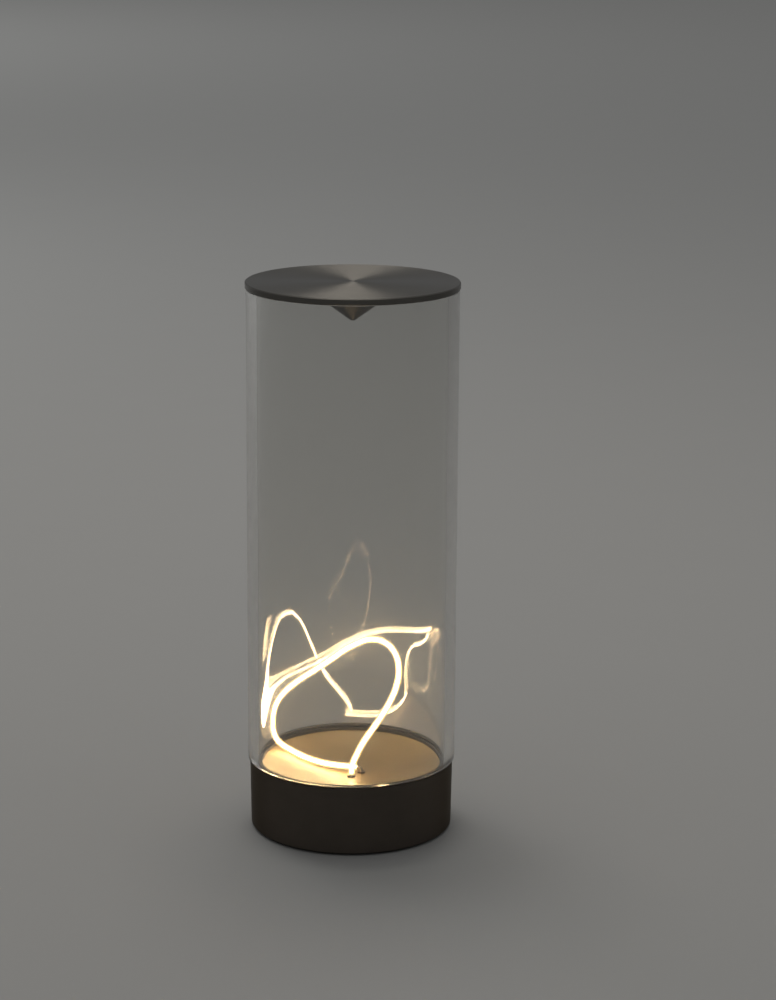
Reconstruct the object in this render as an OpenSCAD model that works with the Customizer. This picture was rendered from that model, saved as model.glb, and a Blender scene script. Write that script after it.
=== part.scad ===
// Cordless table lamp: a clear tube on a low metal base, closed by a thin lid with a turned cone,
// and a bendable light filament that loops freely over a shallow dish.
// Millimetres. The table is z = 0, the tube's axis is the Z axis, and the front faces -Y.

/* [Tube] */
// Outer diameter of the clear tube
tube_d = 100; // [90:0.5:120]
// Wall of the clear tube
tube_wall = 5; // [3:0.5:6]
// Length of the clear tube
tube_h = 228.5; // [150:0.5:320]

/* [Base] */
// Height of the base from the table to the rim that carries the tube
base_h = 34.5; // [31:0.5:45]
// How far the base's rim lies inside the tube's outside
rim_inset = 1; // [0:0.1:1.5]
// How far the base narrows towards the table, on each side
base_taper = 0.5; // [0:0.1:1.5]
// Wall of the base housing
base_wall = 2.5; // [2:0.1:4]
// Gap between the housing's lower edge and the table
base_lift = 1; // [0.5:0.1:1.4]
// Bevel on the housing's edges
edge_bevel = 0.6; // [0.2:0.1:1]

/* [Dish] */
// Height of the dish's underside above the cell
dish_over = 0.2; // [0.2:0.1:4]
// Thickness of the dish's sheet
dish_t = 1; // [0.8:0.1:1.5]
// Width of the ring that locates the dish in its seat and holds it down
ring_w = 1.6; // [1.2:0.1:3]
// How far the ring's top lies under the base's rim
ring_drop = 0.35; // [0.2:0.05:0.8]
// How far the ring's outside lies inside the tube's bore
ring_gap = 0.4; // [0.2:0.1:0.6]

/* [Lid] */
// How far the lid's edge stands out past the tube
lid_over = 0.4; // [-2:0.1:4]
// Thickness of the lid at its edge
lid_t = 3; // [2.5:0.1:6]
// Depth of the step that centres the lid in the tube
lid_step = 1; // [0.6:0.1:2]
// Gap between the lid's step and the tube's bore
lid_gap = 0.5; // [0.3:0.1:1]
// Diameter of the cone where it meets the lid
cone_d = 41; // [30:1:60]
// Length of the cone
cone_h = 14; // [8:0.5:25]
// Diameter of the cone's blunt tip
cone_tip_d = 2.4; // [1:0.1:4]

/* [Filament] */
// Diameter of the light filament with its sleeve
filament_d = 3.4; // [2:0.1:4]
// Gap between the filament's loop and the tube's bore
filament_gap = 0.4; // [0.3:0.1:2]
// Diameter of the filament's bare leads
lead_d = 1; // [0.8:0.1:1.2]
// Distance of the second lead's bush from the axis, to the right
lead_x = 4.8; // [4.5:0.1:6]
// Distance of the second lead's bush from the axis, to the back
lead_y = 5; // [4.5:0.1:6]

/* [Cover and foot] */
// Thickness of the bottom cover
cover_t = 2; // [1.8:0.1:3]
// Gap between the cover and the housing
cover_gap = 0.3; // [0.2:0.1:0.6]
// Width of the rubber foot's ring
foot_w = 6; // [3:0.5:10]
// Gap between the foot and the heads of the cover screws
foot_gap = 1.1; // [0.5:0.1:3]
// Height that the foot stands below the cover
foot_h = 1.5; // [1.5:0.1:2.5]

/* [Battery] */
// Diameter of the cell
cell_d = 18.4; // [14:0.1:20]
// Length of the cell
cell_l = 65; // [50:0.5:70]

/* [Board and charging socket] */
// Angle of the charging socket from the back, towards the left
port_angle = 30; // [26:1:36]
// Width of the board
board_w = 32; // [29:1:35]
// Thickness of the board
board_t = 1.6; // [1:0.1:1.6]
// Height of the posts that carry the board
post_h = 2; // [1.5:0.1:3]

/* [Switch] */
// Height of the push switch above the table
switch_z = 17; // [15.5:0.1:18.5]
// Diameter of the switch's barrel
barrel_d = 12; // [11:0.5:13]
// Diameter of the button
button_d = 8.5; // [6.5:0.1:8.8]
// How far the button stands out of the bezel
button_rise = 1.4; // [1.2:0.1:2]
// Travel of the button
button_travel = 1.2; // [0.5:0.1:1.5]

/* [Hidden] */
$fn = 96;

// Overlap that lets a cut pass cleanly through a face
cut = 1;
// Clearances: pieces that are put together by hand, and pieces that are pressed together
slip = 0.1;
press = 0.05;

// Tube
tube_r = tube_d / 2;
tube_ri = tube_r - tube_wall;
tube_z = base_h;
tube_top = tube_z + tube_h;
tube_bevel = 0.4;

// Seat in the base for the dish and the ring
ring_ro = tube_ri - ring_gap;
ring_ri = ring_ro - ring_w;
seat_r = ring_ro + slip;
ledge_drop = 2.95;
ledge_z = base_h - ledge_drop;
ledge_inset = 0.6;
ledge_ri = ring_ri + ledge_inset;
flange_t = 2.5;
flange_z = ledge_z - flange_t;

// Housing
base_rt = tube_r - rim_inset;
base_rb = base_rt - base_taper;
base_ri = base_rb - base_wall;
boss_r = 3.5;
boss_in = 3;
boss_at = base_ri - boss_in;
boss_gap = 0.5;
boss_clear = 2;
boss_turn = asin((board_w / 2 + boss_r + boss_clear) / boss_at);
boss_angles = [for (i = [0 : 2]) port_angle + 90 + boss_turn + 120 * i];

// Bottom cover
cover_z = foot_h;
cover_top = cover_z + cover_t;
cover_r = base_ri - cover_gap;
screw_r = 1.5;
screw_head_r = 2.9;
screw_l = 11;
hex_r = 1.1;
hex_deep = 0.9;
foot_sink = 0.5;
foot_ro = boss_at - screw_head_r - foot_gap;
foot_ri = foot_ro - foot_w;
post_floor = 1;

// Battery, as far to the front as the housing lets it lie
cell_r = cell_d / 2;
cradle_gap = 0.25;
cradle_wall = 1.2;
cradle_up = 1;
cradle_edge = 1.2;
cell_z = cover_top + cradle_gap + cell_r;
contact_t = 0.5;
contact_bump = 0.8;
contact_bump_r = 2;
contact_w = 10;
contact_x = cell_l / 2 + contact_bump;
end_wall = 1.6;
end_wall_h = 6;
end_lip = 1;
cradle_half = contact_x + contact_t + end_wall;
cradle_w = cell_d + 2 * (cradle_gap + cradle_wall);
cell_y = sqrt(cover_r * cover_r - cradle_half * cradle_half) - cradle_w / 2 - cradle_edge;
tab_w = 3;
tab_rise = 1.5;
tab_top = cell_z + end_wall_h + tab_rise;

// Dish
lip_r = ring_ro - slip;
dish_rim_z = ledge_z + dish_t;
dish_low = cell_z + cell_r + dish_over + dish_t;
dish_depth = dish_rim_z - dish_low;
dish_sphere = (ring_ri * ring_ri + dish_depth * dish_depth) / (2 * dish_depth);
function dish_z(r) = dish_low + dish_sphere - sqrt(dish_sphere * dish_sphere - r * r);

// Lid
lid_r = tube_r + lid_over;
stud_r = 2;
stud_in_lid = 2.2;
stud_in_cone = 7;
step_z = tube_top - lid_step;

// Filament: points to the right, to the back, and up from the dish below each point.
// It rises from the middle of the dish, leans to the right, sweeps over to the back of the tube,
// follows the wall round to the left, comes down it and runs back over the dish to the middle.
filament_route = [
    [0, 0, 1.4], [0, 0, 5], [2.6, 2.3, 10.4], [5.8, 4, 16], [9.8, 5.2, 21], [14.5, 6, 27.1],
    [19.3, 7.5, 34.2], [22.3, 10, 39.3], [24, 14.8, 46.4], [22.3, 22, 51.5], [17, 29, 54],
    [12.5, 35, 52.2], [7.5, 39.3, 49.8], [3.5, 40.2, 47.5], [-3, 41.5, 43.6],
    [-10.5, 41.5, 37.4], [-20, 37, 32.9], [-28.5, 29.5, 30.4], [-36, 22, 25.6], [-39, 18, 20.9],
    [-40, 15.5, 16.7], [-40, 14, 11.7], [-39, 14.8, 6.8], [-36.5, 17, 3], [-32, 17, 2.1],
    [-25, 13.3, 1.95], [-15, 9.4, 2.1], [-7.5, 7.4, 2.6], [-1.5, 5.2, 3.2], [2.5, 4.3, 3.4]];
route_reach = max([for (p = filament_route) norm([p[0], p[1]])]);
route_k = (tube_ri - filament_gap - filament_d / 2) / route_reach;
filament_path = [for (p = filament_route)
    [p[0] * route_k, p[1] * route_k, p[2] + dish_z(norm([p[0], p[1]]) * route_k)]];
filament_start = filament_path[0];
filament_end = filament_path[len(filament_path) - 1];
filament_way = unit(filament_end - filament_path[len(filament_path) - 2]);
bush_r = 1.5;
bush_flange_r = 2;
bush_flange_t = 0.6;
bush_tail = 1.5;
lead_drop = 4.4;
lead_low = dish_low - lead_drop;
lead_holes = [[0, 0], [lead_x, lead_y]];

// Board and charging socket, drawn with the socket at the back and then turned to port_angle
board_z = cover_top + post_h;
board_top = board_z + board_t;
board_y0 = 14;
board_gap = 5;
board_y1 = base_ri - board_gap;
board_l = board_y1 - board_y0;
post_r = 2;
post_in = 3;
post_x = board_w / 2 - post_in;
post_ys = [board_y0 + post_in, board_y1 - post_in];
board_screw_r = 0.8;
board_head_r = 1.7;
board_head_h = 1.2;
socket_w = 8.94;
socket_h = 3.26;
socket_l = 7.35;
socket_wall = 0.3;
socket_out = 0.9;
socket_y1 = base_ri + socket_out;
socket_z = board_top + socket_h / 2;
socket_gap = 0.3;
plug_w = 13;
plug_h = 7.4;
// Parts on the board: from its middle, share of its length from the front, width, length, height
chips = [[2, 0.45, 5, 4, 1.4], [3, 0.7, 3, 3, 1], [-2, 0.26, 3, 1.6, 1]];
inductor_at = [-7, 0.55];
inductor_r = 4;
inductor_core_r = 3;
inductor_h = 4;
inductor_flange = 0.8;

// Switch, along the Y axis at the back
barrel_r = barrel_d / 2;
bezel_w = 1;
bezel_r = barrel_r + bezel_w;
bezel_t = 1.6;
bezel_web = 1;
bezel_y = base_ri + bezel_web;
bezel_face = bezel_y + bezel_t;
barrel_l = 17;
barrel_y0 = bezel_y - barrel_l;
barrel_lip = 1.4;
barrel_wall = 0.8;
barrel_ri = barrel_r - barrel_wall;
button_r = button_d / 2;
button_gap = 0.1;
button_flange_t = 0.9;
button_back = bezel_face - barrel_lip - press;
stem_r = 1.5;
stem_l = 10.5;
insert_l = 7;
insert_y1 = barrel_y0 + insert_l;
terminal_r = 0.6;
terminal_x = 2.5;
terminal_l = 5;
terminal_in = 2;
spring_wire = 0.6;
spring_gap = 1.4;
spring_r = stem_r + spring_gap + spring_wire / 2;
spring_turns = 6;
spring_y0 = insert_y1 + spring_wire / 2 + press;
spring_y1 = button_back - button_flange_t - spring_wire / 2 - press;
nut_flats = barrel_d + 2;
nut_t = 2.2;
nut_y1 = sqrt(base_ri * base_ri - pow(nut_flats / 2 / cos(30), 2)) - slip;

// Wires
wire_d = 1.2;
wire_gap = 0.3;
pad_z = board_top + wire_gap;
// Where a wire meets the board, from the middle of the board's front edge before it is turned
filament_pads = [[-3, 3], [3, 3]];
battery_pads = [[-13, 8.5], [-8.5, 4.5]];
switch_pads = [[8, 5], [11.5, 6.5]];
function turned(p) = let (y = p[1] + board_y0) [p[0] * cos(port_angle) - y * sin(port_angle),
    p[0] * sin(port_angle) + y * cos(port_angle)];
function way(a, b, t) = a + t * (b - a);
// Lane for a wire between the battery's cradle and the board
lane_gap = 3.2;
lane_y = cradle_w / 2 - cell_y + lane_gap;
lane_z = cover_top + 2.2;

// Sweeps
function unit(v) = v / norm(v);
function bend(a, b, c, d, t) = 0.5 * (2 * b + (c - a) * t + (2 * a - 5 * b + 4 * c - d) * t * t
    + (3 * b - a - 3 * c + d) * t * t * t);
function smooth_path(p, steps) = let (n = len(p) - 1) [
    for (i = [0 : n - 1], k = [0 : steps - 1])
        bend(p[max(i - 1, 0)], p[i], p[i + 1], p[min(i + 2, n)], k / steps),
    p[n]];
function tangents(p) = let (n = len(p) - 1)
    [for (i = [0 : n]) unit(p[min(i + 1, n)] - p[max(i - 1, 0)])];
function first_normal(t) = unit(cross(t, abs(t[2]) > 0.7 ? [1, 0, 0] : [0, 0, 1]));
function normals(t) = [
    for (i = 0, v = first_normal(t[0]); i < len(t);
        i = i + 1, v = i < len(t) ? unit(v - (v * t[i]) * t[i]) : v) v];

// Round rod along a path, one closed skin of triangles
module rod(path, d, sides) {
    t = tangents(path);
    u = normals(t);
    last = len(path) - 1;
    ring_points = [for (i = [0 : last], k = [0 : sides - 1]) let (a = 360 * k / sides)
        path[i] + d / 2 * (cos(a) * u[i] + sin(a) * cross(t[i], u[i]))];
    side_faces = [for (i = [0 : last - 1], k = [0 : sides - 1])
        let (a = i * sides + k, b = i * sides + (k + 1) % sides)
        each [[a, a + sides, b], [b, a + sides, b + sides]]];
    first_cap = [for (k = [1 : sides - 2]) [0, k, k + 1]];
    last_cap = [for (k = [1 : sides - 2]) [last * sides, last * sides + k + 1, last * sides + k]];
    polyhedron(ring_points, concat(side_faces, first_cap, last_cap));
}

// Rounded slot, wide along X and long along Y, from y = 0 to y = l
module slot_bar(w, h, l) {
    translate([h / 2 - w / 2, 0, -h / 2]) cube([w - h, l, h]);
    for (s = [-1, 1])
        translate([s * (w - h) / 2, 0, 0]) rotate([-90, 0, 0]) cylinder(d = h, h = l);
}

// Cylinder along +Y, from y0 to y1
module y_bar(r, y0, y1) {
    translate([0, y0, 0]) rotate([-90, 0, 0]) cylinder(r = r, h = y1 - y0);
}

// Cylinder along +X, from x0 to x1
module x_bar(r, x0, x1) {
    translate([x0, 0, 0]) rotate([0, 90, 0]) cylinder(r = r, h = x1 - x0);
}

module at_cover_screws() {
    for (a = boss_angles) rotate([0, 0, a]) translate([boss_at, 0, 0]) children();
}

module at_board_posts() {
    rotate([0, 0, port_angle])
        for (s = [-1, 1], y = post_ys) translate([s * post_x, y, 0]) children();
}

module at_port() {
    rotate([0, 0, port_angle]) children();
}

module at_switch() {
    translate([0, 0, switch_z]) children();
}

// Base

module housing_ring() {
    rotate_extrude() polygon([
        [base_rb - edge_bevel, base_lift], [base_rb, base_lift + edge_bevel],
        [base_rt, base_h - edge_bevel], [base_rt - edge_bevel, base_h],
        [seat_r, base_h], [seat_r, ledge_z], [ledge_ri, ledge_z], [ledge_ri, flange_z],
        [base_ri, flange_z], [base_ri, base_lift]]);
}

module base_housing() {
    color([0.16, 0.16, 0.17]) difference() {
        union() {
            housing_ring();
            at_cover_screws()
                translate([0, 0, cover_top]) cylinder(r = boss_r, h = flange_z - cover_top - boss_gap);
        }
        at_cover_screws()
            translate([0, 0, cover_top - cut]) cylinder(r = screw_r, h = screw_l + cut);
        at_port() translate([0, 0, socket_z]) {
            translate([0, base_ri - boss_r, 0])
                slot_bar(socket_w + 2 * socket_gap, socket_h + 2 * socket_gap, base_rt);
            translate([0, socket_y1, 0]) slot_bar(plug_w, plug_h, base_rt);
        }
        at_switch() {
            y_bar(barrel_r + slip, base_ri - boss_r, base_rt + cut);
            y_bar(bezel_r + 3 * slip, bezel_y, base_rt + cut);
        }
    }
}

module battery_cradle() {
    translate([0, -cell_y, 0]) difference() {
        union() {
            translate([-cradle_half, -cradle_w / 2, cover_top - cover_t / 2])
                cube([2 * cradle_half, cradle_w, cell_z + cradle_up - cover_top + cover_t / 2]);
            for (x = [-cradle_half, cradle_half - end_wall])
                translate([x, -contact_w / 2 - end_lip, cover_top])
                    cube([end_wall, contact_w + 2 * end_lip, cell_z + end_wall_h - cover_top]);
        }
        translate([0, 0, cell_z])
            x_bar(cell_r + cradle_gap, -contact_x - contact_t, contact_x + contact_t);
        translate([-contact_x - contact_t, -cell_r / 2, cover_top])
            cube([2 * (contact_x + contact_t), cell_r, cell_z]);
    }
}

module bottom_cover() {
    color([0.12, 0.12, 0.12]) difference() {
        union() {
            translate([0, 0, cover_z]) cylinder(r = cover_r, h = cover_t);
            at_board_posts() translate([0, 0, cover_top - cut]) cylinder(r = post_r, h = post_h + cut);
            battery_cradle();
        }
        at_cover_screws() {
            translate([0, 0, cover_z - cut]) cylinder(r = screw_r + slip, h = cover_t + 2 * cut);
            translate([0, 0, cover_z - cut]) cylinder(r1 = screw_head_r + slip + cut, r2 = screw_r + slip,
                h = screw_head_r - screw_r + cut);
        }
        at_board_posts()
            translate([0, 0, cover_z + post_floor])
                cylinder(r = board_screw_r + slip / 2, h = cover_t + post_h);
        translate([0, 0, cover_z - cut]) difference() {
            cylinder(r = foot_ro, h = foot_sink + cut);
            translate([0, 0, -cut]) cylinder(r = foot_ri, h = foot_sink + 3 * cut);
        }
    }
}

module cover_screws() {
    color("dimgray") at_cover_screws() difference() {
        union() {
            translate([0, 0, cover_z])
                cylinder(r1 = screw_head_r, r2 = screw_r - press, h = screw_head_r - screw_r);
            translate([0, 0, cover_z]) cylinder(r = screw_r - press, h = cover_t + screw_l - cut);
        }
        translate([0, 0, cover_z - cut]) cylinder(r = hex_r, h = hex_deep + cut, $fn = 6);
    }
}

module foot_ring() {
    round_r = 0.6;
    top = cover_z + foot_sink;
    inner = foot_ri + slip;
    outer = foot_ro - slip;
    color([0.1, 0.1, 0.1]) rotate_extrude() polygon([
        [inner + round_r, 0], [outer - round_r, 0], [outer, round_r], [outer, top],
        [inner, top], [inner, round_r]]);
}

// Dish and tube

module reflector_dish() {
    centre = dish_low + dish_sphere;
    color([0.75, 0.62, 0.42]) difference() {
        union() {
            intersection() {
                translate([0, 0, centre]) sphere(dish_sphere + dish_t);
                translate([0, 0, dish_low - 2 * dish_t])
                    cylinder(r = ring_ri + dish_t / 4, h = dish_rim_z - dish_low + 2 * dish_t);
            }
            translate([0, 0, ledge_z]) cylinder(r = lip_r, h = dish_t);
        }
        translate([0, 0, centre]) sphere(dish_sphere);
        for (p = lead_holes)
            translate([p[0], p[1], dish_low - 3 * dish_t]) cylinder(r = bush_r + press, h = 9 * dish_t);
    }
}

module locating_ring() {
    bevel = 0.4;
    top = base_h - ring_drop;
    color([0.07, 0.07, 0.07]) rotate_extrude() polygon([
        [ring_ri, dish_rim_z], [ring_ro, dish_rim_z], [ring_ro, top - bevel],
        [ring_ro - bevel, top], [ring_ri, top]]);
}

module clear_tube() {
    color([0.8, 0.85, 0.9, 0.4]) rotate_extrude() polygon([
        [tube_ri, tube_z], [tube_r - tube_bevel, tube_z], [tube_r, tube_z + tube_bevel],
        [tube_r, tube_top - tube_bevel], [tube_r - tube_bevel, tube_top], [tube_ri, tube_top]]);
}

// Lid

module lid_disc() {
    bevel = 0.4;
    top = tube_top + lid_t;
    color([0.22, 0.22, 0.23]) difference() {
        rotate_extrude() polygon([
            [0, step_z], [tube_ri - lid_gap - bevel, step_z], [tube_ri - lid_gap, step_z + bevel],
            [tube_ri - lid_gap, tube_top], [lid_r - bevel, tube_top], [lid_r, tube_top + bevel],
            [lid_r, top - bevel], [lid_r - bevel, top], [0, top]]);
        translate([0, 0, step_z - cut]) cylinder(r = stud_r + press, h = stud_in_lid + cut);
    }
}

module lid_cone() {
    color([0.2, 0.2, 0.21]) difference() {
        translate([0, 0, step_z - cone_h]) cylinder(d1 = cone_tip_d, d2 = cone_d, h = cone_h);
        translate([0, 0, step_z - stud_in_cone]) cylinder(r = stud_r + press, h = stud_in_cone + cut);
    }
}

module lid_stud() {
    color("silver") translate([0, 0, step_z - stud_in_cone + slip])
        cylinder(r = stud_r, h = stud_in_cone + stud_in_lid - 2 * slip);
}

// Filament

module led_filament() {
    color([1, 0.86, 0.6]) rod(smooth_path(filament_path, 3), filament_d, 10);
}

module filament_leads() {
    hole = lead_holes[1];
    bend_z = filament_end[2];
    end_path = [filament_end + 2 * slip * filament_way, filament_end + 0.8 * filament_way,
        [hole[0] - 0.5, hole[1] - 0.2, bend_z - 0.5], [hole[0], hole[1], bend_z - 1.2],
        [hole[0], hole[1], bend_z - 2.2], [hole[0], hole[1], lead_low + 2],
        [hole[0], hole[1], lead_low]];
    color("silver") {
        translate([0, 0, lead_low]) cylinder(d = lead_d, h = filament_start[2] - 2 * slip - lead_low);
        rod(smooth_path(end_path, 3), lead_d, 8);
    }
}

module lead_bushings() {
    color([0.3, 0.2, 0.12]) for (p = lead_holes) {
        far = norm(p) + bush_flange_r;
        seat = dish_z(far) + press;
        low = dish_low - dish_t - bush_tail;
        translate([p[0], p[1], 0]) difference() {
            union() {
                translate([0, 0, seat]) cylinder(r = bush_flange_r, h = bush_flange_t);
                translate([0, 0, low]) cylinder(r = bush_r, h = seat - low + bush_flange_t / 2);
            }
            translate([0, 0, low - cut]) cylinder(d = lead_d + 2 * slip, h = seat - low + 3 * cut);
        }
    }
}

// Wire from a lead at a down to the board's pad at p
module lead_wire(a, p) {
    top = lead_low - wire_gap;
    function at(t, z) = concat(way(a, p, t), [z]);
    rod(smooth_path([at(0, top), at(0, top - 0.6), at(0.04, top - 1.4), at(0.16, top - 3),
        at(0.4, top - 6), at(0.7, board_top + 3.5), at(0.96, board_top + 2.3), at(1, board_top + 1.2),
        at(1, pad_z)], 3), wire_d, 8);
}

module filament_wires() {
    color([0.6, 0.1, 0.1]) for (i = [0, 1]) lead_wire(lead_holes[i], turned(filament_pads[i]));
}

// Board and charging socket

module driver_board() {
    corner = 3;
    color([0.05, 0.3, 0.12]) difference() {
        at_port() translate([0, 0, board_z]) linear_extrude(board_t) polygon([
            [-board_w / 2, board_y0], [board_w / 2, board_y0], [board_w / 2, board_y1 - corner],
            [board_w / 2 - corner, board_y1], [corner - board_w / 2, board_y1],
            [-board_w / 2, board_y1 - corner]]);
        at_board_posts()
            translate([0, 0, board_z - cut]) cylinder(r = board_screw_r + slip, h = board_t + 2 * cut);
    }
}

module board_screws() {
    color("silver") at_board_posts() {
        translate([0, 0, board_top]) cylinder(r = board_head_r, h = board_head_h);
        translate([0, 0, board_top - board_t - post_h]) cylinder(r = board_screw_r, h = board_t + post_h);
    }
}

module usb_socket() {
    color("silver") at_port() translate([0, socket_y1 - socket_l, socket_z]) difference() {
        slot_bar(socket_w, socket_h, socket_l);
        translate([0, -cut, 0])
            slot_bar(socket_w - 2 * socket_wall, socket_h - 2 * socket_wall, socket_l + 2 * cut);
    }
}

module usb_tongue() {
    block_l = 1.8;
    tongue_w = 6.7;
    tongue_t = 0.7;
    inner_w = socket_w - 2 * socket_wall - 2 * press;
    inner_h = socket_h - 2 * socket_wall - 2 * press;
    color([0.08, 0.08, 0.08]) at_port() translate([0, socket_y1 - socket_l, socket_z]) {
        slot_bar(inner_w, inner_h, block_l);
        translate([-tongue_w / 2, 0, -tongue_t / 2]) cube([tongue_w, socket_l - 1, tongue_t]);
    }
}

// Place on the board, from its middle and as a share of its length from the front
module on_board(x, share) {
    at_port() translate([x, board_y0 + share * board_l, board_top]) children();
}

module board_inductor() {
    color([0.2, 0.2, 0.2]) on_board(inductor_at[0], inductor_at[1]) {
        cylinder(r = inductor_r, h = inductor_flange);
        cylinder(r = inductor_core_r, h = inductor_h);
        translate([0, 0, inductor_h - inductor_flange]) cylinder(r = inductor_r, h = inductor_flange);
    }
}

module board_chips() {
    color([0.1, 0.1, 0.1]) for (c = chips) on_board(c[0], c[1]) cube([c[2], c[3], c[4]]);
}

// Battery

module battery_cell() {
    cap_r = 2.8;
    cap_l = 1.2;
    groove = 0.5;
    groove_x = cell_l / 2 - 3;
    color([0.15, 0.35, 0.65]) translate([0, -cell_y, cell_z]) difference() {
        union() {
            x_bar(cell_r, -cell_l / 2, cell_l / 2 - cap_l);
            x_bar(cap_r, 0, cell_l / 2);
        }
        difference() {
            x_bar(cell_r + cut, groove_x - groove, groove_x + groove);
            x_bar(cell_r - groove, groove_x - cut, groove_x + cut);
        }
    }
}

module battery_contacts() {
    color("silver") translate([0, -cell_y, cell_z]) for (s = [-1, 1]) mirror([s < 0 ? 1 : 0, 0, 0]) {
        translate([contact_x, -contact_w / 2, -contact_w / 2])
            cube([contact_t, contact_w, contact_w]);
        translate([contact_x, -tab_w / 2, 0]) cube([contact_t, tab_w, tab_top - cell_z]);
        x_bar(contact_bump_r, cell_l / 2, contact_x + contact_t / 2);
    }
}

module battery_wires() {
    p = turned(battery_pads[0]);
    q = turned(battery_pads[1]);
    x = contact_x + contact_t / 2;
    top = tab_top + wire_gap;
    turn = way([-4, lane_y], q, 0.5);
    function over_end(side) = [for (v = [[0, 0], [0, 1], [4, 1.2], [10, -1.5]])
        [side * x, v[0] - cell_y, top + v[1]]];
    color([0.1, 0.1, 0.1]) {
        rod(smooth_path(concat(over_end(-1), [[0.5 - x, lane_y + 0.6, top - 6],
            [3 - x, lane_y + 6, board_top + 4.5], [p[0] - 1, p[1] - 2, board_top + 3],
            [p[0], p[1], board_top + 1.4], [p[0], p[1], pad_z]]), 3), wire_d, 8);
        rod(smooth_path(concat(over_end(1), [[x - 1.5, lane_y + 0.6, top - 6],
            [x - 7, lane_y + 0.6, lane_z + 3], [14, lane_y, lane_z], [-4, lane_y, lane_z],
            [turn[0], turn[1], lane_z + 2], [q[0] + 0.6, q[1] - 1.8, board_top + 2.8],
            [q[0], q[1], board_top + 1.4], [q[0], q[1], pad_z]]), 3), wire_d, 8);
    }
}

// Switch

module switch_barrel() {
    bevel = 0.5;
    color([0.7, 0.7, 0.72]) at_switch() difference() {
        union() {
            y_bar(barrel_r, barrel_y0, bezel_y + bevel);
            y_bar(bezel_r, bezel_y, bezel_face - bevel);
            translate([0, bezel_face - bevel, 0]) rotate([-90, 0, 0])
                cylinder(r1 = bezel_r, r2 = bezel_r - bevel, h = bevel);
        }
        y_bar(button_r + button_gap, barrel_y0, bezel_face + cut);
        y_bar(barrel_ri, barrel_y0 - cut, bezel_face - barrel_lip);
    }
}

module switch_nut() {
    color("silver") at_switch() difference() {
        translate([0, nut_y1 - nut_t, 0]) rotate([-90, 0, 0])
            cylinder(d = nut_flats / cos(30), h = nut_t, $fn = 6);
        y_bar(barrel_r + press, nut_y1 - nut_t - cut, nut_y1 + cut);
    }
}

module switch_button() {
    dome = 0.5;
    face = bezel_face + button_rise;
    color([0.78, 0.78, 0.8]) at_switch() {
        y_bar(button_r, button_back - button_flange_t, face - dome);
        translate([0, face - dome, 0]) rotate([-90, 0, 0])
            cylinder(r1 = button_r, r2 = button_r - dome, h = dome);
        y_bar(barrel_ri - button_gap, button_back - button_flange_t, button_back);
        y_bar(stem_r, button_back - stem_l, button_back);
    }
}

module switch_spring() {
    ring_n = 8 * spring_turns;
    color("silver") at_switch() rod([for (i = [0 : ring_n]) let (a = 360 * spring_turns * i / ring_n)
        [spring_r * cos(a), spring_y0 + (spring_y1 - spring_y0) * i / ring_n, spring_r * sin(a)]],
        spring_wire, 6);
}

module switch_insert() {
    stem_room = 3.5;
    color([0.15, 0.15, 0.15]) at_switch() difference() {
        y_bar(barrel_ri - press, barrel_y0, insert_y1);
        y_bar(stem_r + 2 * slip, insert_y1 - stem_room - button_travel, insert_y1 + cut);
        for (s = [-1, 1]) translate([s * terminal_x, 0, 0])
            y_bar(terminal_r + press, barrel_y0 - cut, barrel_y0 + terminal_in);
    }
}

module switch_terminals() {
    color("silver") at_switch() for (s = [-1, 1]) translate([s * terminal_x, 0, 0])
        y_bar(terminal_r, barrel_y0 - terminal_l, barrel_y0 + terminal_in - press);
}

module switch_wires() {
    start = barrel_y0 - terminal_l - wire_gap;
    color([0.6, 0.1, 0.1]) for (s = [0, 1]) {
        x = s == 0 ? -terminal_x : terminal_x;
        p = turned(switch_pads[s]);
        rod(smooth_path([[x, start, switch_z], [x, start - 1.6, switch_z],
            [(x + p[0]) / 2, (start - 1.6 + p[1]) / 2 - 0.8, switch_z - 2],
            [p[0], p[1], switch_z - 5], [p[0], p[1], pad_z + 1], [p[0], p[1], pad_z]], 3), wire_d, 8);
    }
}

base_housing();
bottom_cover();
cover_screws();
foot_ring();
reflector_dish();
locating_ring();
clear_tube();
lid_disc();
lid_cone();
lid_stud();
led_filament();
filament_leads();
lead_bushings();
filament_wires();
driver_board();
board_screws();
usb_socket();
usb_tongue();
board_inductor();
board_chips();
battery_cell();
battery_contacts();
battery_wires();
switch_barrel();
switch_nut();
switch_button();
switch_spring();
switch_insert();
switch_terminals();
switch_wires();
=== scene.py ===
"""Looks of a cordless table lamp with a clear tube and a looped light filament.

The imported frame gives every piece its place, in metres: the table is z = 0, the tube's axis
is the Z axis and the front faces -Y. Run as a script, it dresses the frame and sets the stage.
"""

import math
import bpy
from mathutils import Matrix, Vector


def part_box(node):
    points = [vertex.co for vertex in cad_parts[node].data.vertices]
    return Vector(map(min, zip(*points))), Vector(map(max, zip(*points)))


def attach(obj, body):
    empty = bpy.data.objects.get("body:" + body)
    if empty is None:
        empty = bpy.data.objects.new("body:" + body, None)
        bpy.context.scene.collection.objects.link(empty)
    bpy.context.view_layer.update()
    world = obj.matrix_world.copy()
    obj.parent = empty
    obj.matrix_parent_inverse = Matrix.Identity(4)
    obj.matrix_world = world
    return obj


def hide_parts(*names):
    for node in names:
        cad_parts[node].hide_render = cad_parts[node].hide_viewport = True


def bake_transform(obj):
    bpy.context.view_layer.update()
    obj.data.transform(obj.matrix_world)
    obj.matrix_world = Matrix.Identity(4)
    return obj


bl_info = {
    "name": "Cordless tube lamp",
    "version": (1, 0, 0),
    "blender": (4, 5, 0),
    "location": "View3D > Sidebar > Tube lamp",
    "description": "Dresses a cordless table lamp around its packed frame",
    "category": "Object",
}

import bmesh
import bpy
from mathutils import Vector

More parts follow.
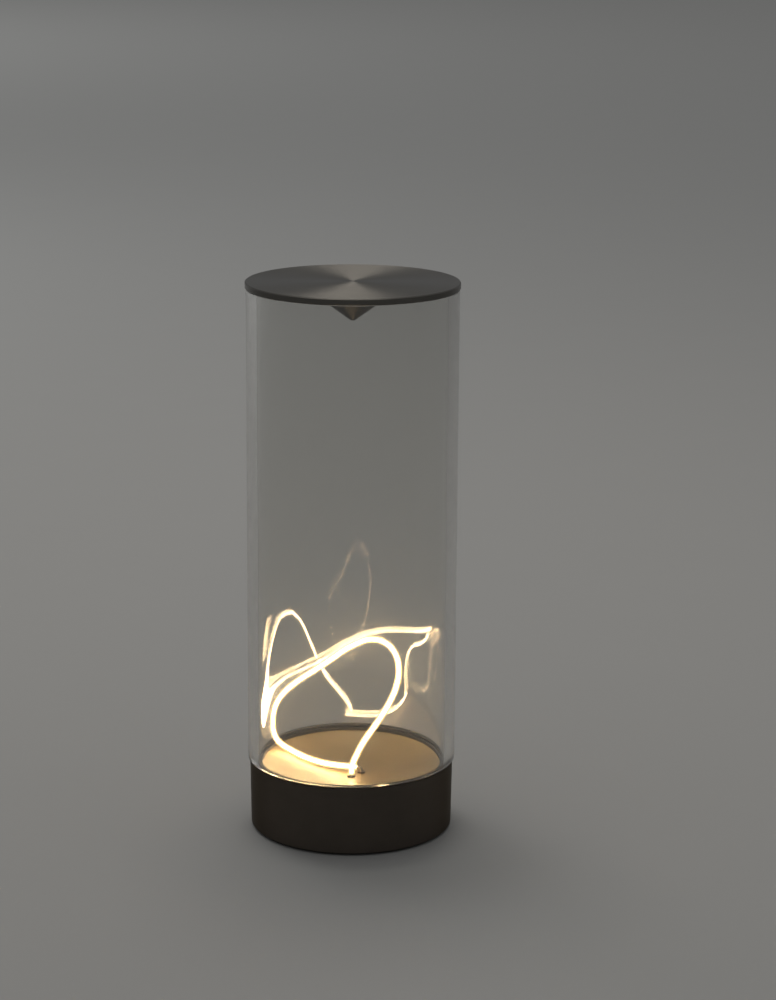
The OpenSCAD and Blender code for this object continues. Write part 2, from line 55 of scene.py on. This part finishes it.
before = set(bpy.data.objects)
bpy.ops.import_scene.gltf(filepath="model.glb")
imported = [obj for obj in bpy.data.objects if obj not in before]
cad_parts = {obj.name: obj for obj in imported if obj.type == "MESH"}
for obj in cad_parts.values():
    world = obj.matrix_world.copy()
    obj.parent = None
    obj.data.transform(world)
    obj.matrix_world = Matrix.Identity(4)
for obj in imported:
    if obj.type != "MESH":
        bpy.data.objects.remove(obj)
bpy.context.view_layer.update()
MM = 0.001


def linear(code):
    """An sRGB hex value as linear red, green and blue."""
    parts = [int(code[i:i + 2], 16) / 255 for i in (1, 3, 5)]
    return tuple(p / 12.92 if p <= 0.04045 else ((p + 0.055) / 1.055) ** 2.4 for p in parts)


def size(name, description, default):
    """A length that a user may change."""
    return bpy.props.FloatProperty(
        name=name, description=description, default=default, min=0, precision=5,
        subtype="DISTANCE", unit="LENGTH")


def colour(name, description, code):
    """A colour that a user may change."""
    return bpy.props.FloatVectorProperty(
        name=name, description=description, default=linear(code), size=3, min=0, max=1,
        subtype="COLOR")


# Sizes and colours

TUBE_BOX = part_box("clear_tube")
DISH_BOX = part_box("reflector_dish")
RING_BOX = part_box("locating_ring")
SPRING_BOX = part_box("switch_spring")


class LampSizes(bpy.types.PropertyGroup):
    """Sizes of the pieces that are modelled here."""
    tube_radius: size("Tube radius", "Outside of the clear tube", TUBE_BOX[1].x)
    tube_wall: size("Tube wall", "Thickness of the clear tube's wall", 5 * MM)
    tube_edge: size("Tube edge", "Small bevel at the tube's ends", 0.2 * MM)
    tube_bond: size("Tube bond", "Film of adhesive under the tube", 0.1 * MM)
    filament_width: size("Filament width", "Outside of the filament's soft sleeve", 3.4 * MM)
    filament_core: size("Filament core", "Glowing strip inside the sleeve", 1.5 * MM)
    filament_end: size("Filament end", "How far the strip stops inside the sleeve", 0.4 * MM)
    filament_gap: size("Filament gap", "Room between the filament and the tube's wall", 0.4 * MM)
    dish_sheet: size("Dish sheet", "Thickness of the spun dish", 1 * MM)
    ring_width: size("Ring width", "Width of the locating ring", 1.6 * MM)
    spring_wire: size("Spring wire", "Wire of the switch's spring", 0.6 * MM)


class LampColours(bpy.types.PropertyGroup):
    """Colours of the finishes."""
    base: colour("Base", "Anodised base", "#58514A")
    lid: colour("Lid", "Anodised lid and cone", "#62605C")
    dish: colour("Dish", "Spun dish", "#73654B")
    glow: colour("Glow", "Light of the filament", "#FFDBA4")
    sleeve: colour("Sleeve", "Silicone sleeve of the filament", "#FFDFA0")
    floor: colour("Floor", "Paper sweep under the lamp", "#8B8B8A")


# Materials

# A Mix node's sockets for colours, which share their names with its other sockets
MIX_SHARE, MIX_DARK, MIX_LIGHT, MIX_RESULT = 0, 6, 7, 2

# Marks of a lathe, a little uneven: a Wave texture of scale 1 repeats every tenth of pi metres
LATHE_WAVE = {"wave_type": "RINGS", "rings_direction": "Z"}
LATHE_UNEVEN = {"Distortion": 0.6, "Detail": 2.0, "Detail Scale": 0.3}
WAVE_REPEAT = math.pi / 10

# A turned surface stretches its highlights across the marks, which run round the Z axis
LATHE_TANGENT = {"direction_type": "RADIAL", "axis": "Z"}
ACROSS_MARKS = 0.25


def rgba(values):
    """Three linear values with full opacity."""
    return (*values, 1.0)


def shaded(values, share):
    """A colour made darker or lighter."""
    return tuple(min(1, v * share) for v in values)


def add_node(tree, kind, fields=None, sockets=None):
    """Add a node, set its fields, and set or link its sockets."""
    node = tree.nodes.new(kind)
    for key, value in (fields or {}).items():
        setattr(node, key, value)
    for key, value in (sockets or {}).items():
        if isinstance(value, bpy.types.NodeSocket):
            tree.links.new(value, node.inputs[key])
        else:
            node.inputs[key].default_value = value
    return node


def start_material(name, **sockets):
    """A new material with a Principled BSDF; returns it, its tree, its shader and its place."""
    material = bpy.data.materials.new(name)
    material.use_nodes = True
    tree = material.node_tree
    shader = tree.nodes["Principled BSDF"]
    for key, value in sockets.items():
        shader.inputs[key.replace("_", " ")].default_value = value
    place = add_node(tree, "ShaderNodeTexCoord").outputs["Object"]
    return material, tree, shader, place


def vary(tree, shader, pattern, depth=0.0, **ranges):
    """Let a 0 to 1 pattern move the shader's sockets and its relief; depth in mm."""
    for key, (low, high) in ranges.items():
        if isinstance(low, tuple):
            level = add_node(tree, "ShaderNodeMix", {"data_type": "RGBA"}, {
                MIX_SHARE: pattern, MIX_DARK: rgba(low), MIX_LIGHT: rgba(high),
            }).outputs[MIX_RESULT]
        else:
            level = add_node(tree, "ShaderNodeMapRange", None, {
                "Value": pattern, "To Min": low, "To Max": high}).outputs["Result"]
        tree.links.new(level, shader.inputs[key.replace("_", " ")])
    if depth:
        relief = add_node(tree, "ShaderNodeBump", None, {
            "Height": pattern, "Strength": 1.0, "Distance": depth * MM})
        tree.links.new(relief.outputs["Normal"], shader.inputs["Normal"])


def lid_finish(name, tint):
    """Aluminium, turned and anodised: its grooves spread the light into bright sectors."""
    material, tree, shader, place = start_material(
        name, Metallic=1.0, Anisotropic=0.9, Anisotropic_Rotation=ACROSS_MARKS)
    tangent = add_node(tree, "ShaderNodeTangent", LATHE_TANGENT).outputs["Tangent"]
    tree.links.new(tangent, shader.inputs["Tangent"])
    # Real grooves are 0.1 to 0.2 mm apart, too fine to show, so they are drawn at 0.8 mm
    grooves = add_node(tree, "ShaderNodeTexWave", LATHE_WAVE, {
        "Vector": place, "Scale": WAVE_REPEAT / (0.8 * MM), **LATHE_UNEVEN}).outputs["Fac"]
    vary(tree, shader, grooves, depth=0.004, Roughness=(0.39, 0.47))
    # The dye took a little unevenly, in patches of 9 mm
    patches = add_node(tree, "ShaderNodeTexNoise", None, {
        "Vector": place, "Scale": 1 / (9 * MM), "Detail": 3.0}).outputs["Fac"]
    vary(tree, shader, patches, Base_Color=(shaded(tint, 0.9), shaded(tint, 1.1)))
    return material


def dish_finish(tint):
    """Aluminium, spun, anodised bronze and lacquered: a soft bright patch beside the strand."""
    material, tree, shader, place = start_material(
        "spun aluminium anodised bronze", Metallic=1.0, Coat_Weight=0.3, Coat_Roughness=0.34)
    # Real spinning marks are about 0.5 mm apart, too fine to show, so they are drawn at 1 mm
    marks = add_node(tree, "ShaderNodeTexWave", LATHE_WAVE, {
        "Vector": place, "Scale": WAVE_REPEAT / (1.0 * MM), **LATHE_UNEVEN}).outputs["Fac"]
    vary(tree, shader, marks, depth=0.003, Roughness=(0.52, 0.6))
    # The dye took a little unevenly, in patches of 12 mm
    patches = add_node(tree, "ShaderNodeTexNoise", None, {
        "Vector": place, "Scale": 1 / (12 * MM), "Detail": 3.0}).outputs["Fac"]
    vary(tree, shader, patches, Base_Color=(shaded(tint, 0.93), shaded(tint, 1.07)))
    return material


def base_finish(tint):
    """Aluminium, turned and anodised a warm black: satin, with a soft upright streak of light."""
    material, tree, shader, place = start_material(
        "turned aluminium anodised black", Metallic=0.9, Anisotropic=0.5,
        Anisotropic_Rotation=ACROSS_MARKS, Specular_Tint=rgba((0.45, 0.43, 0.4)))
    tangent = add_node(tree, "ShaderNodeTangent", LATHE_TANGENT).outputs["Tangent"]
    tree.links.new(tangent, shader.inputs["Tangent"])
    # Real turning lines are 0.1 to 0.2 mm high, too fine to show, so they are drawn at 0.7 mm
    height = add_node(tree, "ShaderNodeSeparateXYZ", None, {"Vector": place}).outputs["Z"]
    lines = add_node(tree, "ShaderNodeTexNoise", {"noise_dimensions": "1D"}, {
        "W": height, "Scale": 1 / (0.7 * MM), "Detail": 1.0}).outputs["Fac"]
    vary(tree, shader, lines, depth=0.006, Roughness=(0.36, 0.48))
    # The dye took a little unevenly, in patches of 14 mm
    patches = add_node(tree, "ShaderNodeTexNoise", None, {
        "Vector": place, "Scale": 1 / (14 * MM), "Detail": 3.0}).outputs["Fac"]
    vary(tree, shader, patches, Base_Color=(shaded(tint, 0.85), shaded(tint, 1.15)))
    return material


def clear_wall():
    """Clear drawn glass: bright at its edges, showing the filament again in both its faces.

    An IOR of 1.6 and a transmission just under 1 stand for dense glass with a slight haze.
    """
    material, tree, shader, place = start_material(
        "clear drawn glass", Base_Color=rgba(linear("#EFEFED")), Roughness=0.0, IOR=1.6,
        Transmission_Weight=0.965)
    # Drawing leaves slow waves in the wall, 45 mm wide
    waves = add_node(tree, "ShaderNodeTexNoise", None, {
        "Vector": place, "Scale": 1 / (45 * MM), "Detail": 0.0}).outputs["Fac"]
    vary(tree, shader, waves, depth=0.01)
    # Light passes straight through, so that the wall doesn't shade what is inside
    clear = add_node(tree, "ShaderNodeBsdfTransparent", None, {
        "Color": rgba(linear("#F6F8F8"))}).outputs["BSDF"]
    shadow = add_node(tree, "ShaderNodeLightPath").outputs["Is Shadow Ray"]
    mix = add_node(tree, "ShaderNodeMixShader", None, {
        "Fac": shadow, 1: shader.outputs["BSDF"], 2: clear})
    tree.links.new(mix.outputs["Shader"], tree.nodes["Material Output"].inputs["Surface"])
    return material


def bonded_end():
    """Adhesive under the tube: brown where it wets the glass, a faint mirror where it does not."""
    material, tree, shader, place = start_material(
        "brown adhesive film", Roughness=0.12, IOR=1.6, Transmission_Weight=0.2,
        Specular_IOR_Level=0.0)
    # Streaks of 6 mm, as a spread film has
    streaks = add_node(tree, "ShaderNodeTexNoise", None, {
        "Vector": place, "Scale": 1 / (6 * MM), "Detail": 3.0}).outputs["Fac"]
    vary(tree, shader, streaks, Base_Color=(linear("#241F19"), linear("#322B23")))
    return material


def glowing_strip(glow):
    """Phosphor over a row of small diodes: white hot, a little brighter over each diode."""
    material, tree, shader, place = start_material(
        "lit phosphor strip", Roughness=0.6, Base_Color=rgba(glow), Emission_Color=rgba(glow))
    # The diodes sit about 1.4 mm apart
    diodes = add_node(tree, "ShaderNodeTexNoise", None, {
        "Vector": place, "Scale": 1 / (1.4 * MM), "Detail": 1.0}).outputs["Fac"]
    vary(tree, shader, diodes, Emission_Strength=(100.0, 124.0))
    return material


def sleeve_finish(sleeve):
    """Soft silicone: half clear, cream where the strip lights it."""
    material, tree, shader, place = start_material(
        "translucent silicone", Roughness=0.35, IOR=1.41, Alpha=0.6,
        Base_Color=rgba(shaded(sleeve, 0.1)), Emission_Color=rgba(sleeve))
    # Cloudy spots of 2.5 mm
    cloud = add_node(tree, "ShaderNodeTexNoise", None, {
        "Vector": place, "Scale": 1 / (2.5 * MM), "Detail": 3.0}).outputs["Fac"]
    vary(tree, shader, cloud, Emission_Strength=(1.1, 1.3))
    return material


def moulded(name, code, roughness, width, depth):
    """A moulded plastic or rubber with the texture of its mould: matt, with soft highlights.

    Width and depth are in mm. A mould's grain is 0.1 to 0.3 mm wide, too fine to show, so it is
    drawn wider.
    """
    material, tree, shader, place = start_material(name)
    tint = linear(code)
    spots = add_node(tree, "ShaderNodeTexNoise", None, {
        "Vector": place, "Scale": 1 / (width * MM), "Detail": 3.0}).outputs["Fac"]
    vary(tree, shader, spots, depth, Base_Color=(shaded(tint, 0.8), shaded(tint, 1.2)),
         Roughness=(roughness - 0.06, roughness + 0.06))
    return material


def plated(name, code, roughness, width):
    """Plated or brushed metal: bright, with slightly uneven highlights.

    Width is that of its marks, in mm. Real ones are about 0.1 mm wide, too fine to show, so they
    are drawn wider.
    """
    material, tree, shader, place = start_material(name, Metallic=1.0)
    tint = linear(code)
    marks = add_node(tree, "ShaderNodeTexNoise", None, {
        "Vector": place, "Scale": 1 / (width * MM), "Detail": 3.0}).outputs["Fac"]
    vary(tree, shader, marks, depth=0.004,
         Base_Color=(shaded(tint, 0.88), shaded(tint, 1.08)),
         Roughness=(roughness - 0.06, roughness + 0.08))
    return material


def paper(tint):
    """Matt studio paper, nearly even."""
    material, tree, shader, place = start_material("matt studio paper", Roughness=0.75)
    # Faint clouds of 60 mm
    clouds = add_node(tree, "ShaderNodeTexNoise", None, {
        "Vector": place, "Scale": 1 / (60 * MM), "Detail": 3.0}).outputs["Fac"]
    vary(tree, shader, clouds, Base_Color=(shaded(tint, 0.99), shaded(tint, 1.01)))
    return material


def wear(node, material):
    """Give a CAD node its material."""
    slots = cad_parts[node].data.materials
    slots.clear()
    slots.append(material)


# Shapes

# Points closer than this are one point
MERGE = 1e-7

# Edges that turn more than this stay sharp to the eye, on turned pieces and on rods
TURNED_CORNER = math.radians(12)
ROD_CORNER = math.radians(50)

# Rings of a rod from one of its points to the next, and how finely its section is rounded
ROD_RINGS = 10
ROD_ROUNDING = 6


def add_piece(name, bm, material, smooth=TURNED_CORNER):
    """Turn a bmesh into an object at the origin, with its normals outwards."""
    bmesh.ops.remove_doubles(bm, verts=bm.verts, dist=MERGE)
    bmesh.ops.recalc_face_normals(bm, faces=bm.faces)
    mesh = bpy.data.meshes.new(name)
    bm.to_mesh(mesh)
    bm.free()
    mesh.shade_smooth()
    mesh.set_sharp_from_angle(angle=smooth)
    mesh.materials.append(material)
    piece = bpy.data.objects.new(name, mesh)
    bpy.context.scene.collection.objects.link(piece)
    return piece


def lathe(outline, steps=256):
    """Spin a closed outline of radius and height round the Z axis."""
    bm = bmesh.new()
    verts = [bm.verts.new((r, 0, z)) for r, z in outline]
    edges = [bm.edges.new((a, b)) for a, b in zip(verts, verts[1:] + verts[:1])]
    bmesh.ops.spin(bm, geom=verts + edges, cent=(0, 0, 0), axis=(0, 0, 1),
                   angle=2 * math.pi, steps=steps, use_merge=True)
    return bm


def round_edges(bm, width, segments=3, corner=math.radians(40)):
    """Bevel the edges that turn more than a corner."""
    bm.normal_update()
    sharp = [e for e in bm.edges
             if len(e.link_faces) == 2 and e.calc_face_angle(0) > corner]
    bmesh.ops.bevel(bm, geom=sharp, offset=width, offset_type="OFFSET", affect="EDGES",
                    segments=segments, profile=0.5, material=-1)


# The filament's route as the CAD has it: x, y and height over the dish, in mm
FILAMENT_ROUTE = (
    (0, 0, 1.4), (0, 0, 5), (2.6, 2.3, 10.4), (5.8, 4, 16), (9.8, 5.2, 21), (14.5, 6, 27.1),
    (19.3, 7.5, 34.2), (22.3, 10, 39.3), (24, 14.8, 46.4), (22.3, 22, 51.5), (17, 29, 54),
    (12.5, 35, 52.2), (7.5, 39.3, 49.8), (3.5, 40.2, 47.5), (-3, 41.5, 43.6),
    (-10.5, 41.5, 37.4), (-20, 37, 32.9), (-28.5, 29.5, 30.4), (-36, 22, 25.6), (-39, 18, 20.9),
    (-40, 15.5, 16.7), (-40, 14, 11.7), (-39, 14.8, 6.8), (-36.5, 17, 3), (-32, 17, 2.1),
    (-25, 13.3, 1.95), (-15, 9.4, 2.1), (-7.5, 7.4, 2.6), (-1.5, 5.2, 3.2), (2.5, 4.3, 3.4),
)


def filament_path(sizes):
    """Points of the filament's middle line, in metres, over the dish's bowl."""
    low = DISH_BOX[0].z + sizes.dish_sheet
    rim = RING_BOX[1].x - sizes.ring_width
    depth = DISH_BOX[1].z - low
    bowl = (rim * rim + depth * depth) / (2 * depth)
    reach = max(math.hypot(x, y) for x, y, _ in FILAMENT_ROUTE)
    room = sizes.tube_radius - sizes.tube_wall - sizes.filament_gap - sizes.filament_width / 2
    share = room / reach
    points = []
    for x, y, over in FILAMENT_ROUTE:
        r = math.hypot(x, y) * share
        dish = low + bowl - math.sqrt(bowl * bowl - r * r)
        points.append(Vector((x * share, y * share, dish + over * MM)))
    # Each inner point is evened out with its neighbours, so that the strand bends softly
    evened = [(a + b * 4 + c) / 6 for a, b, c in zip(points, points[1:], points[2:])]
    return [points[0], *evened, points[-1]]


def rod_along(name, points, width, material, trim=0.0):
    """A round rod along a smooth line through the points, as a mesh with closed ends."""
    curve = bpy.data.curves.new(name, "CURVE")
    curve.dimensions = "3D"
    curve.resolution_u = ROD_RINGS
    curve.bevel_depth = width / 2
    curve.bevel_resolution = ROD_ROUNDING
    curve.use_fill_caps = True
    spline = curve.splines.new("BEZIER")
    spline.bezier_points.add(len(points) - 1)
    for knot, point in zip(spline.bezier_points, points):
        knot.co = point
        knot.handle_left_type = knot.handle_right_type = "AUTO"
    if trim:
        for end, inner in ((0, 1), (-1, -2)):
            way = (points[inner] - points[end]).normalized()
            spline.bezier_points[end].co = points[end] + way * trim
    guide = bpy.data.objects.new(name, curve)
    bpy.context.scene.collection.objects.link(guide)
    mesh = bpy.data.meshes.new_from_object(
        guide.evaluated_get(bpy.context.evaluated_depsgraph_get()))
    bpy.data.objects.remove(guide)
    bpy.data.curves.remove(curve)
    bm = bmesh.new()
    bm.from_mesh(mesh)
    bpy.data.meshes.remove(mesh)
    return add_piece(name, bm, material, ROD_CORNER)


def spring_path(wire, turns=6, steps=12):
    """Points of the switch spring's wire, along Y, inside the room that the CAD gives it."""
    low, high = SPRING_BOX
    radius = (high.x - low.x - wire) / 2
    start, end = low.y + wire / 2, high.y - wire / 2
    middle = (low.z + high.z) / 2
    points = []
    for i in range(turns * steps + 1):
        share = i / (turns * steps)
        turn = 2 * math.pi * turns * share
        points.append(Vector((radius * math.cos(turn), start + (end - start) * share,
                              middle + radius * math.sin(turn))))
    return points


# Stage, in metres, watts and degrees

FLOOR_RADIUS = 9
FLOOR_SIDES = 96

# Softboxes: name, place, aim, width, power, colour, and whether shiny pieces mirror it
SOFTBOXES = (
    ("top softbox", (-0.08, 0.42, 1.55), (0, 0, 0), 0.7, 7.6, "#FFF8EF", True),
    ("left softbox", (-1.3, 1.6, 1.1), (-0.9, 1.5, 0), 0.9, 9.0, "#FEFFFE", False),
    ("back softbox", (-2.3, 4.6, 2.2), (-2.0, 4.6, 0), 1.5, 36.0, "#FEFFFE", False),
)

# The room's light grows from the horizon up to this height, on a sky of radius 1
ROOM_LOW, ROOM_HIGH, ROOM_FULL_AT = 0.11, 0.48, 0.8
ROOM_COLOUR = "#FFFFFE"

# Camera, fitted to the photo's edges of lid, tube and base
CAMERA_SENSOR_MM = 36
CAMERA_LENS_MM = 99.897
CAMERA_PLACE = (0.0001, -1.2788, 0.4752)
CAMERA_TURN = (76.201, -0.3625, -0.668)
CAMERA_FAR = 50

# Keeps stray bright dots of the strip's light out of the render
INDIRECT_CLAMP = 40


# Operators

class LAMP_OT_stage(bpy.types.Operator):
    """Set the floor, the lights, the world and the camera"""
    bl_idname = "lamp.stage"
    bl_label = "Stage"

    def execute(self, context):
        scene = context.scene
        bm = bmesh.new()
        bmesh.ops.create_circle(bm, cap_ends=True, segments=FLOOR_SIDES, radius=FLOOR_RADIUS)
        floor = add_piece("floor", bm, paper(scene.lamp_colours.floor))

        for name, place, aim, width, power, code, mirrored in SOFTBOXES:
            light = bpy.data.lights.new(name, "AREA")
            light.size = width
            light.energy = power
            light.color = linear(code)
            lamp = bpy.data.objects.new(name, light)
            lamp.location = place
            lamp.rotation_euler = (Vector(aim) - Vector(place)).to_track_quat("-Z", "Y").to_euler()
            lamp.visible_glossy = mirrored
            scene.collection.objects.link(lamp)

        world = bpy.data.worlds.new("studio")
        world.use_nodes = True
        tree = world.node_tree
        place = add_node(tree, "ShaderNodeTexCoord").outputs["Generated"]
        up = add_node(tree, "ShaderNodeSeparateXYZ", None, {"Vector": place}).outputs["Z"]
        level = add_node(tree, "ShaderNodeMapRange", None, {
            "Value": up, "From Min": 0.0, "From Max": ROOM_FULL_AT,
            "To Min": ROOM_LOW, "To Max": ROOM_HIGH}).outputs["Result"]
        room = tree.nodes["Background"]
        tree.links.new(level, room.inputs["Strength"])
        room.inputs["Color"].default_value = rgba(linear(ROOM_COLOUR))
        scene.world = world

        eye = bpy.data.cameras.new("camera")
        eye.sensor_width = CAMERA_SENSOR_MM
        eye.lens = CAMERA_LENS_MM
        eye.clip_end = CAMERA_FAR
        camera = bpy.data.objects.new("camera", eye)
        camera.location = CAMERA_PLACE
        camera.rotation_euler = [math.radians(angle) for angle in CAMERA_TURN]
        scene.collection.objects.link(camera)
        scene.camera = camera

        scene.view_settings.view_transform = "Standard"
        scene.cycles.sample_clamp_indirect = INDIRECT_CLAMP
        scene.cycles.caustics_refractive = False
        scene.cycles.caustics_reflective = False
        return {"FINISHED"}


class LAMP_OT_clear_tube(bpy.types.Operator):
    """Make the clear tube with its full wall and polished edges"""
    bl_idname = "lamp.clear_tube"
    bl_label = "Clear tube"

    def execute(self, context):
        sizes = context.scene.lamp_sizes
        outer = sizes.tube_radius
        inner = outer - sizes.tube_wall
        low, high = TUBE_BOX[0].z + sizes.tube_bond, TUBE_BOX[1].z - sizes.tube_bond / 2
        bm = lathe(((inner, low), (outer, low), (outer, high), (inner, high)))
        round_edges(bm, sizes.tube_edge)
        # The lower end takes the second material, the adhesive
        for face in bm.faces:
            face.material_index = int(face.calc_center_median().z < low + sizes.tube_edge)
        tube = add_piece("drawn_tube", bm, clear_wall())
        tube.data.materials.append(bonded_end())
        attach(tube, "base")
        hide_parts("clear_tube")
        return {"FINISHED"}


class LAMP_OT_filament(bpy.types.Operator):
    """Make the glowing strip and the soft sleeve round it, and finish their leads"""
    bl_idname = "lamp.filament"
    bl_label = "Light filament"

    def execute(self, context):
        sizes = context.scene.lamp_sizes
        colours = context.scene.lamp_colours
        points = filament_path(sizes)
        strip = rod_along("glowing_strip", points, sizes.filament_core,
                          glowing_strip(colours.glow), trim=sizes.filament_end)
        sleeve = rod_along("silicone_sleeve", points, sizes.filament_width,
                           sleeve_finish(colours.sleeve))
        for piece in (strip, sleeve):
            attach(piece, "base")
            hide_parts("led_filament")
        wear("filament_leads", plated("nickel plated wire", "#B9B4AA", roughness=0.3, width=1.5))
        wear("lead_bushings", moulded(
            "brown phenolic", "#3A2A1A", roughness=0.5, width=0.8, depth=0.01))
        return {"FINISHED"}


class LAMP_OT_lid(bpy.types.Operator):
    """Finish the lid, its cone and the stud that joins them"""
    bl_idname = "lamp.lid"
    bl_label = "Lid"

    def execute(self, context):
        tint = tuple(context.scene.lamp_colours.lid)
        wear("lid_disc", lid_finish("turned aluminium anodised grey", tint))
        # The cone takes the disc's finish darkened to 0.45, a painted shade for the shade under
        # the lid
        wear("lid_cone", lid_finish("turned aluminium anodised with painted shade", shaded(tint, 0.45)))
        wear("lid_stud", plated("zinc plated steel", "#A9A8A4", roughness=0.35, width=1.5))
        return {"FINISHED"}


class LAMP_OT_base(bpy.types.Operator):
    """Finish the base, the dish, the ring and the foot"""
    bl_idname = "lamp.base"
    bl_label = "Base and dish"

    def execute(self, context):
        colours = context.scene.lamp_colours
        wear("base_housing", base_finish(tuple(colours.base)))
        wear("reflector_dish", dish_finish(tuple(colours.dish)))
        wear("locating_ring", moulded(
            "black silicone rubber", "#16130F", roughness=0.6, width=0.6, depth=0.01))
        wear("foot_ring", moulded(
            "black foot rubber", "#1B1A19", roughness=0.8, width=0.7, depth=0.03))
        wear("bottom_cover", moulded(
            "black glass filled nylon", "#1D1D1C", roughness=0.6, width=0.5, depth=0.02))
        wear("cover_screws", plated("black oxide steel", "#3C3A38", roughness=0.4, width=1.0))
        return {"FINISHED"}


class LAMP_OT_switch(bpy.types.Operator):
    """Make the switch's spring, and finish the push switch and the charging socket at the back"""
    bl_idname = "lamp.switch"
    bl_label = "Switch and socket"

    def execute(self, context):
        steel = plated("brushed stainless steel", "#A8A7A4", roughness=0.32, width=0.8)
        for node in ("switch_barrel", "switch_button", "switch_nut"):
            wear(node, steel)
        wire = context.scene.lamp_sizes.spring_wire
        points = spring_path(wire)
        spring = rod_along("return_spring", points, wire,
                           plated("spring steel", "#8E8C88", roughness=0.3, width=1.0))
        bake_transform(spring)
        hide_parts("switch_spring")
        wear("switch_insert", moulded(
            "black ABS", "#202020", roughness=0.5, width=0.6, depth=0.01))
        wear("switch_terminals", plated("tinned brass", "#B5B1A5", roughness=0.35, width=1.0))
        wear("usb_socket", plated("nickel plated shell", "#9C9B98", roughness=0.28, width=0.9))
        wear("usb_tongue", moulded(
            "black socket nylon", "#1C1C1C", roughness=0.5, width=0.5, depth=0.01))
        return {"FINISHED"}


class LAMP_OT_inside(bpy.types.Operator):
    """Finish the cell, the board and the wires inside the base"""
    bl_idname = "lamp.inside"
    bl_label = "Inside the base"

    def execute(self, context):
        wear("driver_board", moulded(
            "green solder mask", "#1E5A34", roughness=0.4, width=3.0, depth=0.01))
        wear("board_screws", plated("zinc plated screws", "#A9A8A4", roughness=0.35, width=1.2))
        wear("board_inductor", moulded(
            "ferrite", "#2A2A2C", roughness=0.6, width=0.5, depth=0.02))
        wear("board_chips", moulded(
            "black epoxy", "#1A1A1B", roughness=0.55, width=0.5, depth=0.01))
        wear("battery_cell", moulded(
            "blue shrink wrap", "#2C5C9E", roughness=0.3, width=4.0, depth=0.01))
        wear("battery_contacts", plated("nickel strip", "#B0AEA6", roughness=0.3, width=1.0))
        red = moulded("red wire insulation", "#A8231E", roughness=0.45, width=1.0, depth=0.01)
        wear("filament_wires", red)
        wear("switch_wires", red)
        wear("battery_wires", moulded(
            "black wire insulation", "#1C1B1B", roughness=0.45, width=1.0, depth=0.01))
        return {"FINISHED"}


class LAMP_PT_panel(bpy.types.Panel):
    """Sizes, colours and makers of the lamp"""
    bl_idname = "LAMP_PT_panel"
    bl_label = "Tube lamp"
    bl_space_type = "VIEW_3D"
    bl_region_type = "UI"
    bl_category = "Tube lamp"

    def draw(self, context):
        for group in (context.scene.lamp_sizes, context.scene.lamp_colours):
            column = self.layout.column(align=True)
            for key in group.__annotations__:
                column.prop(group, key)
        for operator in OPERATORS:
            self.layout.operator(operator.bl_idname)


OPERATORS = (LAMP_OT_stage, LAMP_OT_clear_tube, LAMP_OT_filament, LAMP_OT_lid, LAMP_OT_base,
             LAMP_OT_switch, LAMP_OT_inside)
CLASSES = (LampSizes, LampColours, *OPERATORS, LAMP_PT_panel)


def register():
    """Add the classes, and the sizes and colours that each scene holds."""
    for cls in CLASSES:
        bpy.utils.register_class(cls)
    bpy.types.Scene.lamp_sizes = bpy.props.PointerProperty(type=LampSizes)
    bpy.types.Scene.lamp_colours = bpy.props.PointerProperty(type=LampColours)


def unregister():
    """Take away what register added."""
    del bpy.types.Scene.lamp_colours
    del bpy.types.Scene.lamp_sizes
    for cls in reversed(CLASSES):
        bpy.utils.unregister_class(cls)


def main():
    """Dress the frame and set the stage."""
    register()
    bpy.ops.lamp.stage()
    bpy.ops.lamp.clear_tube()
    bpy.ops.lamp.filament()
    bpy.ops.lamp.lid()
    bpy.ops.lamp.base()
    bpy.ops.lamp.switch()
    bpy.ops.lamp.inside()
    bpy.context.view_layer.update()


if __name__ == "__main__":
    main()
